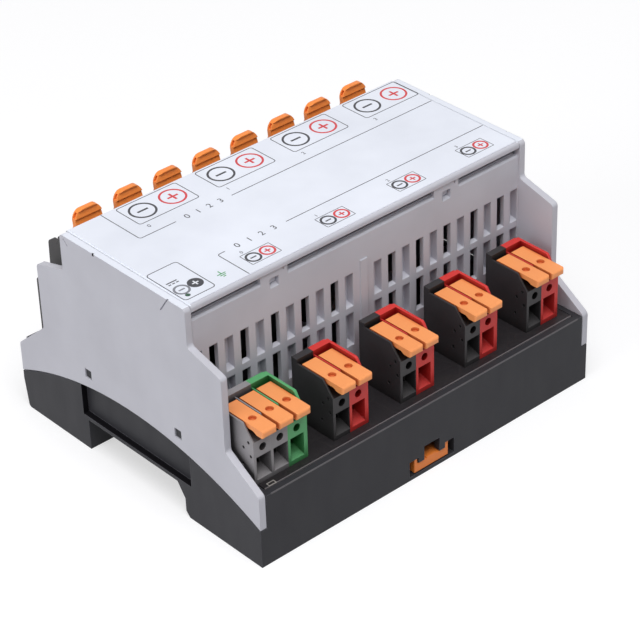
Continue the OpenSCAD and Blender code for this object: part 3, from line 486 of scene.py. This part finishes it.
class Finish(Enum):
    """Every finish on the isolator."""

    BASE = MouldedPlastic(
        "base_black", (51, 51, 55), grain_depth_mm=0.008, edge_mm=0.25, edge_lift=1.9, specular=0.18,
        patches=(BASE_RIM_HIGHLIGHT, RECESS_SHADE),
    )
    HOUSING = MouldedPlastic(
        "housing_gray", (199, 199, 208), edge_mm=0.3, edge_lift=1.03, patches=(PLATE_TOP_LIGHT, PLATE_NICK_SHADE),
    )
    LABEL = MouldedPlastic(
        "label_film", LABEL_WHITE, roughness=0.42, grain_mm=0.5, grain_depth_mm=0.003,
        edge_mm=0.05, edge_lift=1.0,
    )
    PUSH_LEVER = MouldedPlastic(
        "push_lever_orange", (255, 162, 98), roughness=0.42, grain_mm=0.5, grain_depth_mm=0.004,
        edge_mm=0.22, edge_lift=1.0, crevice_mm=1.2,
    )
    REAR_LEVER = MouldedPlastic(
        "rear_lever_orange", (255, 146, 68), roughness=0.42, grain_mm=0.5, grain_depth_mm=0.004,
        edge_mm=0.15, edge_lift=1.0,
    )
    LATCH = MouldedPlastic(
        "latch_orange", (244, 136, 58), roughness=0.45, grain_mm=0.5, grain_depth_mm=0.005, edge_lift=1.02,
    )
    POLE_GRAY = MouldedPlastic(
        "pole_gray", (150, 147, 150), roughness=0.48, grain_depth_mm=0.005,
        edge_mm=0.18, edge_lift=1.1, crevice_mm=5.0,
    )
    POLE_GREEN = MouldedPlastic(
        "pole_green", (92, 170, 112), roughness=0.45, grain_depth_mm=0.005,
        edge_mm=0.18, edge_lift=1.08, crevice_mm=5.0,
    )
    POLE_RED = MouldedPlastic(
        "pole_red", (216, 60, 56), roughness=0.45, grain_depth_mm=0.005,
        edge_mm=0.18, edge_lift=1.1, crevice_mm=5.0,
    )
    POLE_BLACK = MouldedPlastic("pole_black", (52, 50, 52), edge_mm=0.18, edge_lift=1.35, crevice_mm=5.0)
    MODULE = MouldedPlastic("module_gray", (92, 94, 98), roughness=0.6, grain_mm=0.6, grain_depth_mm=0.01)
    CHIP = MouldedPlastic("chip_black", (40, 40, 42), roughness=0.55, grain_mm=0.3)
    GUIDE = MouldedPlastic(
        "light_guide_green", (40, 84, 62), roughness=0.2, grain_mm=0.8, grain_depth_mm=0.002, edge_mm=0.1,
    )
    BOARD = SolderResist(
        "board_black", (32, 29, 32), copper=(36, 33, 35), bare=(110, 106, 109), margin_mm=(42.45, 42.80),
    )
    CAN = DrawnMetal("capacitor_can", (190, 192, 196), roughness=0.3)
    CONTACT = DrawnMetal("contact_tin", (205, 200, 190), roughness=0.28, lines=(0.1, 1, 1))
    SPRING = DrawnMetal("spring_steel", (180, 182, 186), roughness=0.25, lines=(0.1, 1, 1))
    INK_BLACK = PrintInk("ink_black", (52, 52, 58))
    INK_GRAY = PrintInk("ink_gray", (120, 122, 130))
    INK_RED = PrintInk("ink_red", (205, 66, 72), thin=1.1)
    INK_GREEN = PrintInk("ink_green", (70, 150, 90), thin=1.15)
    INK_WHITE = PrintInk("ink_white", (225, 228, 234), thin=1.02)
    INK_BOARD = PrintInk("ink_board", (150, 146, 142), thin=1.1)


class FinishShelf:
    """Materials made so far, one for each finish."""

    def __init__(self) -> None:
        """Start with an empty shelf."""
        self.made: dict[Finish, bpy.types.Material] = {}

    def take(self, finish: Finish) -> bpy.types.Material:
        """Fetch a material, made on first use.

        Args:
            finish: The finish to fetch.

        Returns:
            The finish's material.
        """
        if finish not in self.made:
            self.made[finish] = finish.value.build()
        return self.made[finish]

    def dress(self, piece: bpy.types.Object, finish: Finish) -> None:
        """Give a piece one finish all over.

        Args:
            piece: The object to dress.
            finish: Its finish.
        """
        piece.data.materials.clear()
        piece.data.materials.append(self.take(finish))


SHELF = FinishShelf()


@dataclass
class NodeGroup:
    """Solids of one sub-assembly that share a finish."""

    title: str
    finish: Finish
    nodes: list[str]

    def build(self) -> None:
        """Dress each solid of the group and report it."""
        for name in self.nodes:
            SHELF.dress(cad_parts[name], self.finish)
            LOG.info("%s: %s finished as %s", self.title, name, self.finish.value.name)


class Assembly:
    """Sub-assembly of solids that are dressed group by group."""

    groups: list[NodeGroup]

    def build(self) -> None:
        """Dress every group of the sub-assembly."""
        for group in self.groups:
            group.build()


@dataclass
class Terminals(Assembly):
    """The poles, blocks, levers and inner metal of both terminal rows."""

    channels: int = 4
    supply: list[tuple[str, str, Finish]] = field(default_factory=lambda: [
        ("power_pole_1", "lever_power_1", Finish.POLE_GRAY),
        ("power_pole_2", "lever_power_2", Finish.POLE_GRAY),
        ("earth_pole", "lever_earth", Finish.POLE_GREEN),
    ])

    @property
    def groups(self) -> list[NodeGroup]:
        """List the solids of both rows by their finish.

        Returns:
            The groups, from the supply terminal to the inner metal.
        """
        signs = [f"{c + 1}_{sign}" for c in range(self.channels) for sign in ("minus", "plus")]
        minus = [f"out_{s}" for s in signs if s.endswith("minus")]
        plus = [f"out_{s}" for s in signs if s.endswith("plus")]
        push = [lever for _, lever, _ in self.supply] + [f"lever_out_{s}" for s in signs]
        blocks = [f"input_block_{c + 1}" for c in range(self.channels)]
        supply = [NodeGroup("supply terminal", finish, [pole]) for pole, _, finish in self.supply]
        return supply + [
            NodeGroup("output terminals", Finish.POLE_BLACK, minus),
            NodeGroup("output terminals", Finish.POLE_RED, plus),
            NodeGroup("push levers", Finish.PUSH_LEVER, push),
            NodeGroup("input terminals", Finish.POLE_BLACK, blocks),
            NodeGroup("input levers", Finish.REAR_LEVER, [f"lever_in_{s}" for s in signs]),
            NodeGroup("terminal metal", Finish.CONTACT, ["front_contacts", "rear_contacts"]),
            NodeGroup("terminal metal", Finish.SPRING, ["front_springs", "rear_springs"]),
        ]


@dataclass
class Housing(Assembly):
    """Base, upper housing, cover with its label, and rail latch."""

    groups: list[NodeGroup] = field(default_factory=lambda: [
        NodeGroup("base", Finish.BASE, ["base_housing"]),
        NodeGroup("upper housing", Finish.HOUSING, ["upper_housing", "top_cover"]),
        NodeGroup("label", Finish.LABEL, ["cover_label"]),
        NodeGroup("latch", Finish.LATCH, ["rail_latch"]),
    ])


@dataclass
class Electronics(Assembly):
    """Board and the parts on it."""

    groups: list[NodeGroup] = field(default_factory=lambda: [
        NodeGroup("board", Finish.BOARD, ["main_board"]),
        NodeGroup("isolation", Finish.MODULE, ["isolation_modules"]),
        NodeGroup("isolation", Finish.CHIP, ["isolation_amps", "power_converter"]),
        NodeGroup("supply filter", Finish.CAN, ["capacitors"]),
        NodeGroup("status light", Finish.GUIDE, ["status_led", "light_pipe"]),
    ])


def box_mm(node: str) -> tuple[Vector, Vector]:
    """Return the least and the greatest corner of a solid's box, in millimetres."""
    low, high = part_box(node)
    return Vector(low) / MM, Vector(high) / MM


def arc_corner(before: Vector, at: Vector, after: Vector, radius: float, steps: int = 6) -> list[Vector]:
    """Round one corner of a path.

    Args:
        before: Point before the corner.
        at: The corner.
        after: Point after the corner.
        radius: Radius of the arc, 0 for a sharp corner.
        steps: Number of straight pieces in the arc.

    Returns:
        The points that take the corner's place.
    """
    if radius <= 0:
        return [at]
    to_before = (before - at).normalized()
    to_after = (after - at).normalized()
    half = to_before.angle(to_after) / 2
    centre = at + (to_before + to_after).normalized() * radius / math.sin(half)
    start = at + to_before * radius / math.tan(half) - centre
    end = at + to_after * radius / math.tan(half) - centre
    return [centre + start.slerp(end, i / steps).normalized() * radius for i in range(steps + 1)]


def rounded_path(points: Sequence[Point], radius: float, closed: bool) -> list[Vector]:
    """Round every inner corner of a path.

    Args:
        points: The path's corners in millimetres.
        radius: Radius at each corner.
        closed: Whether the path returns to its start.

    Returns:
        The path with its arcs.
    """
    corners = [Vector(p) for p in points]
    count = len(corners)
    path: list[Vector] = []
    for i, corner in enumerate(corners):
        end_point = not closed and i in (0, count - 1)
        path += arc_corner(corners[i - 1], corner, corners[(i + 1) % count], 0 if end_point else radius)
    return path


def circle_path(centre: Point, radius: float, steps: int = 56) -> list[Vector]:
    """Return the points of a circle.

    Args:
        centre: Middle of the circle in millimetres.
        radius: Radius in millimetres.
        steps: Number of points.

    Returns:
        The points, counter-clockwise.
    """
    turns = [2 * math.pi * i / steps for i in range(steps)]
    return [Vector((centre[0] + radius * math.cos(t), centre[1] + radius * math.sin(t))) for t in turns]


def box_path(left: float, low: float, size: Point, corner: float) -> list[Vector]:
    """Return the outline of a rounded box.

    Args:
        left: Left side.
        low: Lower side.
        size: Width and height.
        corner: Radius of its corners.

    Returns:
        The closed outline.
    """
    w, h = size
    corners = [(left, low), (left + w, low), (left + w, low + h), (left, low + h)]
    return rounded_path(corners, corner, True)


def housing_piece(name: str, mesh: bmesh.types.BMesh, finish: Finish) -> bpy.types.Object:
    """Turn a mesh into a piece that rides on the housing.

    Args:
        name: Name of the piece.
        mesh: Its faces, which are used up.
        finish: Its finish.

    Returns:
        The new piece.
    """
    data = bpy.data.meshes.new(name)
    mesh.to_mesh(data)
    mesh.free()
    piece = bpy.data.objects.new(name, data)
    bpy.context.scene.collection.objects.link(piece)
    SHELF.dress(piece, finish)
    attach(piece, HOUSING_BODY)
    LOG.info("%s: %d faces", name, len(data.polygons))
    return piece


@dataclass
class InkLayer:
    """Flat marks of one ink, gathered into one thin mesh that lies on a face."""

    name: str
    finish: Finish
    face_z: float
    film: float = 0.02
    mesh: bmesh.types.BMesh = field(default_factory=bmesh.new)

    def _row(self, points: Sequence[Vector], lift: float) -> list[bmesh.types.BMVert]:
        """Add a row of points at a height above the face, in millimetres."""
        return [self.mesh.verts.new((p.x * MM, p.y * MM, self.face_z + lift * MM)) for p in points]

    def band(self, left: Sequence[Vector], right: Sequence[Vector], closed: bool) -> None:
        """Add a thin solid band between two rows of points.

        Args:
            left: Points along the left side.
            right: Points along the right side, as many.
            closed: Whether the band closes on itself.
        """
        edges = ((left, 0), (left, self.film), (right, self.film), (right, 0))
        rows = [self._row(points, lift) for points, lift in edges]
        count = len(left)
        for i in range(count if closed else count - 1):
            j = (i + 1) % count
            for a, b in zip(rows, rows[1:] + rows[:1]):
                self.mesh.faces.new((a[i], a[j], b[j], b[i]))
        if not closed:
            self.mesh.faces.new([row[0] for row in rows])
            self.mesh.faces.new([row[-1] for row in reversed(rows)])

    def stroke(self, path: Sequence[Vector], width: float, closed: bool = False) -> None:
        """Draw a line of even width.

        Args:
            path: Points along the middle of the line.
            width: Width of the line in millimetres.
            closed: Whether the line returns to its start.
        """
        count = len(path)
        left, right = [], []
        for i, p in enumerate(path):
            before = path[i - 1] if closed or i > 0 else p
            after = path[(i + 1) % count] if closed or i < count - 1 else p
            inward = (p - before).normalized() if before != p else (after - p).normalized()
            outward = (after - p).normalized() if after != p else inward
            along = (inward + outward).normalized()
            side = Vector((-along.y, along.x)) * width / 2 / max(MITRE_LIMIT, along.dot(inward))
            left.append(p + side)
            right.append(p - side)
        self.band(left, right, closed)

    def ring(self, centre: Point, radius: float, width: float) -> None:
        """Draw a circle line.

        Args:
            centre: Middle of the circle.
            radius: Radius at the middle of the line.
            width: Width of the line.
        """
        self.band(circle_path(centre, radius + width / 2), circle_path(centre, radius - width / 2), True)

    def disc(self, centre: Point, radius: float) -> None:
        """Fill a circle.

        Args:
            centre: Middle of the disc.
            radius: Radius of the disc.
        """
        path = circle_path(centre, radius)
        low, high = self._row(path, 0), self._row(path, self.film)
        self.mesh.faces.new(high)
        self.mesh.faces.new(list(reversed(low)))
        for i in range(len(path)):
            j = (i + 1) % len(path)
            self.mesh.faces.new((low[i], low[j], high[j], high[i]))

    def bar(self, start: Point, end: Point, width: float) -> None:
        """Draw a short straight bar.

        Args:
            start: One end.
            end: The other end.
            width: Width of the bar.
        """
        self.stroke([Vector(start), Vector(end)], width)

    def minus(self, centre: Point, reach: float, width: float) -> None:
        """Draw a minus sign.

        Args:
            centre: Middle of the sign.
            reach: Half its length.
            width: Width of its bar.
        """
        self.bar((centre[0] - reach, centre[1]), (centre[0] + reach, centre[1]), width)

    def plus(self, centre: Point, reach: float, width: float) -> None:
        """Draw a plus sign.

        Args:
            centre: Middle of the sign.
            reach: Half its length.
            width: Width of its bars.
        """
        x, y = centre
        self.minus(centre, reach, width)
        self.bar((x, y + width / 2), (x, y + reach), width)
        self.bar((x, y - reach), (x, y - width / 2), width)

    def digit(self, text: str, centre: Point, height: float) -> None:
        """Set a plain number.

        Args:
            text: The number.
            centre: Middle of the number.
            height: Height of the type in millimetres.
        """
        curve = bpy.data.curves.new("number", "FONT")
        curve.body = text
        curve.size = height * MM
        curve.extrude = self.film * MM / 2
        curve.align_x, curve.align_y = "CENTER", "CENTER"
        holder = bpy.data.objects.new("number", curve)
        bpy.context.scene.collection.objects.link(holder)
        cut = bpy.data.meshes.new_from_object(holder.evaluated_get(bpy.context.evaluated_depsgraph_get()))
        cut.transform(Matrix.Translation((centre[0] * MM, centre[1] * MM, self.face_z + self.film * MM / 2)))
        self.mesh.from_mesh(cut)
        bpy.data.objects.remove(holder)
        bpy.data.meshes.remove(cut)
        bpy.data.curves.remove(curve)

    def lay(self, slot: str) -> None:
        """Turn the marks into a piece that rides on the housing."""
        bmesh.ops.recalc_face_normals(self.mesh, faces=self.mesh.faces)
        housing_piece(self.name, self.mesh, self.finish)


@dataclass(frozen=True)
class Zone:
    """Line that parts one row's zone from the rest of the label, with a gap for numbers, in millimetres."""

    corner_at: Point
    gap: Point
    start_inset: float
    end_inset: float = 0.1
    line: float = 0.22
    corner: float = 0.7
    number_size: float = 2.6

    def draw(self, ink: InkLayer, channels: int) -> None:
        """Draw the line from the label's nearer edge round its corner to the right end.

        Args:
            ink: Layer to draw in.
            channels: How many numbers stand in the gap.
        """
        low, high = box_mm("cover_label")
        x, y = self.corner_at
        start = high.y - self.start_inset if y > 0 else low.y + self.start_inset
        gap_from, gap_to = self.gap
        ink.stroke(rounded_path([(x, start), (x, y), (gap_from, y)], self.corner, False), self.line)
        ink.bar((gap_to, y), (high.x - self.end_inset, y), self.line)
        step = (gap_to - gap_from) / (channels + 1)
        for c in range(channels):
            ink.digit(str(c), (gap_from + (c + 1) * step, y), self.number_size)


@dataclass(frozen=True)
class ChannelBox:
    """Box with two polarity signs and a number, repeated for each channel of a row, in millimetres."""

    left: float
    low: float
    pitch: float
    size: Point
    corner: float
    line: float
    signs_at: Point
    ring_radius: float
    ring_line: float
    sign_reach: float
    sign_line: float
    number_at: Point
    number_size: float

    def draw(self, black: InkLayer, red: InkLayer, channel: int) -> None:
        """Draw the box of one channel.

        Args:
            black: Layer for the box, its number and its minus sign.
            red: Layer for its plus sign.
            channel: The channel, from 0.
        """
        left = self.left + channel * self.pitch
        middle = self.low + self.size[1] / 2
        black.stroke(box_path(left, self.low, self.size, self.corner), self.line, True)
        for ink, x, sign in zip((black, red), self.signs_at, (black.minus, red.plus)):
            ink.ring((left + x, middle), self.ring_radius, self.ring_line)
            sign((left + x, middle), self.sign_reach, self.sign_line)
        x, y = self.number_at
        black.digit(str(channel), (left + x, self.low + y), self.number_size)


@dataclass(frozen=True)
class SupplyMarks:
    """Supply terminal's box with its direct-current sign and two poles, and the earth sign, in mm."""

    left: float = -51.3
    low: float = -19.9
    size: Point = (8.8, 14.1)
    corner: float = 0.9
    line: float = 0.22
    current_at: Point = (-48.7, -11.8)
    current_reach: float = 1.5
    current_line: float = 0.35
    dash_pitch: float = 1.1
    dash_drop: float = 0.8
    dash_reach: float = 0.36
    minus_at: Point = (-49.0, -15.8)
    minus_ring: Point = (1.75, 0.56)
    minus_sign: Point = (0.85, 0.45)
    plus_at: Point = (-45.0, -15.7)
    plus_radius: float = 1.92
    plus_sign: Point = (0.9, 0.4)
    earth_at: Point = (-38.5, -17.0)
    earth_stem: float = 1.3
    earth_line: float = 0.3
    earth_reaches: tuple[float, ...] = (1.2, 0.78, 0.36)
    earth_step: float = 0.6

    def draw(self, black: InkLayer, gray: InkLayer, white: InkLayer, green: InkLayer) -> None:
        """Draw the box and its signs.

        Args:
            black: Layer for the box, the direct-current sign and the positive pole.
            gray: Layer for the negative pole.
            white: Layer for the sign on the positive pole.
            green: Layer for the earth sign.
        """
        black.stroke(box_path(self.left, self.low, self.size, self.corner), self.line, True)
        x, y = self.current_at
        black.minus((x, y), self.current_reach, self.current_line)
        for step in (-1, 0, 1):
            black.minus((x + step * self.dash_pitch, y - self.dash_drop), self.dash_reach, self.current_line)
        gray.ring(self.minus_at, *self.minus_ring)
        gray.minus(self.minus_at, *self.minus_sign)
        black.disc(self.plus_at, self.plus_radius)
        white.plus(self.plus_at, *self.plus_sign)
        x, y = self.earth_at
        green.bar((x, y), (x, y + self.earth_stem), self.earth_line)
        for step, reach in enumerate(self.earth_reaches):
            green.minus((x, y - step * self.earth_step), reach, self.earth_line)


@dataclass
class CoverPrint:
    """Lines, boxes, numbers and signs printed on the cover's label."""

    channels: int = 4
    white_film: float = 0.03
    zones: tuple[Zone, ...] = (
        Zone(corner_at=(-42.1, 7.7), gap=(-31.4, -14.4), start_inset=0.1),
        Zone(corner_at=(-34.0, -10.3), gap=(-31.8, -13.2), start_inset=0.2),
    )
    rows: tuple[ChannelBox, ...] = (
        ChannelBox(
            left=-38.2, low=12.55, pitch=24.0, size=(18.0, 9.3), corner=0.7, line=0.22,
            signs_at=(4.5, 13.55), ring_radius=3.22, ring_line=0.56, sign_reach=1.55, sign_line=0.6,
            number_at=(1.2, -1.9), number_size=1.7,
        ),
        ChannelBox(
            left=-30.9, low=-19.1, pitch=22.9, size=(8.6, 4.7), corner=0.2, line=0.165,
            signs_at=(2.15, 6.35), ring_radius=1.75, ring_line=0.55, sign_reach=0.85, sign_line=0.4,
            number_at=(1.5, 5.8), number_size=1.5,
        ),
    )
    supply: SupplyMarks = SupplyMarks()

    def layers(self) -> dict[Finish, InkLayer]:
        """Start one layer for each ink, on the label's top face.

        Returns:
            The empty layers by their ink.
        """
        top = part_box("cover_label")[1].z
        names = {
            Finish.INK_BLACK: "print_black", Finish.INK_GRAY: "print_gray",
            Finish.INK_RED: "print_red", Finish.INK_GREEN: "print_green",
        }
        layers = {finish: InkLayer(name, finish, top) for finish, name in names.items()}
        layers[Finish.INK_WHITE] = InkLayer("print_white", Finish.INK_WHITE, top, self.white_film)
        return layers

    def build(self) -> None:
        """Draw all the marks and lay them on the cover."""
        inks = self.layers()
        black, red = inks[Finish.INK_BLACK], inks[Finish.INK_RED]
        for zone in self.zones:
            zone.draw(black, self.channels)
        for channel in range(self.channels):
            for row in self.rows:
                row.draw(black, red, channel)
        self.supply.draw(black, inks[Finish.INK_GRAY], inks[Finish.INK_WHITE], inks[Finish.INK_GREEN])
        for layer in inks.values():
            layer.lay("label_film")


@dataclass
class BoardMark:
    """Small printed frame on the board's front strip, beside the supply terminal, in millimetres."""

    inset: Point = (1.5, 0.25)
    size: Point = (2.0, 1.0)
    line: float = 0.25

    def build(self) -> None:
        """Print the frame near the board's left front corner."""
        layer = InkLayer("board_mark", Finish.INK_BOARD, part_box("main_board")[1].z)
        corner = box_mm("main_board")[0]
        left, low = corner.x + self.inset[0], corner.y + self.inset[1]
        layer.stroke(box_path(left, low, self.size, 0), self.line, True)
        layer.lay("board")


@dataclass
class CoverLip:
    """Thin lips inside the walls' upper edges, behind the gap under the cover, in millimetres."""

    thickness: float = 0.4
    below_cover: Point = (5.0, 3.45)
    wall_inset: float = 1.7
    end_inset: float = 0.5
    hook_span: Point = (24.4, 30.3)

    def build(self) -> None:
        """Set the lips against the inner faces of both walls, clear of the cover's hooks."""
        cover_low, cover_high = box_mm("top_cover")
        low, high = (cover_high.z - drop for drop in self.below_cover)
        walls = ((cover_low.y + self.wall_inset, 1), (cover_high.y - self.wall_inset, -1))
        near, far = self.hook_span
        tip = cover_high.x - self.end_inset
        mesh = bmesh.new()
        for face, inward in walls:
            for start, end in ((-tip, -far), (-near, near), (far, tip)):
                middle = Vector(((start + end) / 2, face + inward * self.thickness / 2, (low + high) / 2))
                size = Vector((end - start, self.thickness, high - low))
                place = Matrix.Translation(middle * MM) @ Matrix.Diagonal(size * MM).to_4x4()
                bmesh.ops.create_cube(mesh, size=1, matrix=place)
        housing_piece("cover_lip", mesh, Finish.HOUSING)


@dataclass
class Softbox:
    """One large soft lamp of the studio."""

    name: str
    place: Triple
    size: float
    power: float

    def build(self, target: Vector) -> None:
        """Hang the lamp and turn it to the part.

        Args:
            target: Point that the lamp faces.
        """
        data = bpy.data.lights.new(self.name, "AREA")
        data.shape = "DISK"
        data.size = self.size
        data.energy = self.power
        lamp = bpy.data.objects.new(self.name, data)
        lamp.location = self.place
        lamp.rotation_euler = (target - Vector(self.place)).to_track_quat("-Z", "Y").to_euler()
        bpy.context.scene.collection.objects.link(lamp)


@dataclass
class Studio:
    """Pale floor, soft light and plain white surroundings."""

    floor_half: float = 6.0
    floor_colour: Colour = (188, 188, 190)
    floor_roughness: float = 0.9
    floor_specular: float = 0.1
    floor_glow: float = 0.56
    ambient: float = 0.22
    lamps: list[Softbox] = field(default_factory=lambda: [
        Softbox("top_softbox", (-0.25, -0.42, 1.22), 1.1, 13.6),
        Softbox("left_softbox", (-1.3, 0.1, 0.55), 0.9, 6.0),
    ])

    def seen_directly(self, tree: bpy.types.NodeTree) -> Socket:
        """Return a value that is 1 for camera, mirror and glass rays.

        Args:
            tree: Node tree to add the nodes to.

        Returns:
            The socket that carries the value.
        """
        path = tree.nodes.new("ShaderNodeLightPath")
        value = path.outputs["Is Camera Ray"]
        for name in ("Is Glossy Ray", "Is Transmission Ray"):
            either = tree.nodes.new("ShaderNodeMath")
            either.operation = "MAXIMUM"
            tree.links.new(value, either.inputs[0])
            tree.links.new(path.outputs[name], either.inputs[1])
            value = either.outputs[0]
        return value

    def lay_floor(self) -> None:
        """Lay the floor: matt and pale, with a faint glow only where it is looked at."""
        mesh = bpy.data.meshes.new("studio_floor")
        h = self.floor_half
        mesh.from_pydata([(-h, -h, 0), (h, -h, 0), (h, h, 0), (-h, h, 0)], [], [(0, 1, 2, 3)])
        floor = bpy.data.objects.new("studio_floor", mesh)
        bpy.context.scene.collection.objects.link(floor)
        material = bpy.data.materials.new("studio_floor")
        material.use_nodes = True
        tree = material.node_tree
        matt = tree.nodes["Principled BSDF"]
        matt.inputs["Base Color"].default_value = linear(self.floor_colour)
        matt.inputs["Roughness"].default_value = self.floor_roughness
        matt.inputs["Specular IOR Level"].default_value = self.floor_specular
        glow = tree.nodes.new("ShaderNodeEmission")
        strength = tree.nodes.new("ShaderNodeMath")
        strength.operation = "MULTIPLY"
        strength.inputs[1].default_value = self.floor_glow
        tree.links.new(self.seen_directly(tree), strength.inputs[0])
        tree.links.new(strength.outputs[0], glow.inputs["Strength"])
        both = tree.nodes.new("ShaderNodeAddShader")
        tree.links.new(matt.outputs[0], both.inputs[0])
        tree.links.new(glow.outputs[0], both.inputs[1])
        tree.links.new(both.outputs[0], tree.nodes["Material Output"].inputs["Surface"])
        mesh.materials.append(material)

    def surround(self) -> None:
        """Make the surroundings white to the eye and dimmer as light."""
        world = bpy.data.worlds.new("studio")
        bpy.context.scene.world = world
        world.use_nodes = True
        tree = world.node_tree
        sky = tree.nodes["Background"]
        sky.inputs["Color"].default_value = (1.0, 1.0, 1.0, 1.0)
        mix = tree.nodes.new("ShaderNodeMapRange")
        mix.inputs["To Min"].default_value = self.ambient
        mix.inputs["To Max"].default_value = 1.0
        tree.links.new(self.seen_directly(tree), mix.inputs["Value"])
        tree.links.new(mix.outputs["Result"], sky.inputs["Strength"])

    def build(self) -> None:
        """Set up floor, surroundings and lamps."""
        low, high = CAD_BOX
        target = (Vector(low) + Vector(high)) / 2
        self.lay_floor()
        self.surround()
        for lamp in self.lamps:
            lamp.build(target)
        bpy.context.scene.view_settings.view_transform = "Standard"


@dataclass
class ProductCamera:
    """Camera that looks at the part as the photograph does."""

    place_mm: Triple = (-323.4, -376.9, 349.9)
    azimuth: float = -41.08
    elevation: float = 33.50
    roll: float = -1.97
    focal_px: float = 2421.0
    frame_px: float = 640.0
    sensor_mm: float = 36.0
    nearest_mm: float = 10.0

    def build(self) -> None:
        """Make the camera and look through it."""
        a, e, r = (math.radians(v) for v in (self.azimuth, self.elevation, self.roll))
        back = Vector((math.sin(a) * math.cos(e), -math.cos(a) * math.cos(e), math.sin(e)))
        right = (-back).cross(Vector((0, 0, 1))).normalized()
        up = right.cross(-back)
        side = math.cos(r) * right + math.sin(r) * up
        head = -math.sin(r) * right + math.cos(r) * up
        data = bpy.data.cameras.new("product_camera")
        data.sensor_width = self.sensor_mm
        data.lens = self.focal_px * self.sensor_mm / self.frame_px
        data.clip_start = self.nearest_mm * MM
        camera = bpy.data.objects.new("product_camera", data)
        turn = Matrix((side, head, back)).transposed().to_4x4()
        camera.matrix_world = Matrix.Translation(Vector(self.place_mm) * MM) @ turn
        bpy.context.scene.collection.objects.link(camera)
        bpy.context.scene.camera = camera


def main() -> None:
    """Build the scene in order."""
    logging.basicConfig(level=logging.INFO, format="%(message)s")
    parts = (
        Housing(), Electronics(), Terminals(), CoverPrint(),
        BoardMark(), CoverLip(), Studio(), ProductCamera(),
    )
    for part in parts:
        part.build()
        LOG.info("built %s", type(part).__name__)


if __name__ == "__main__":
    main()
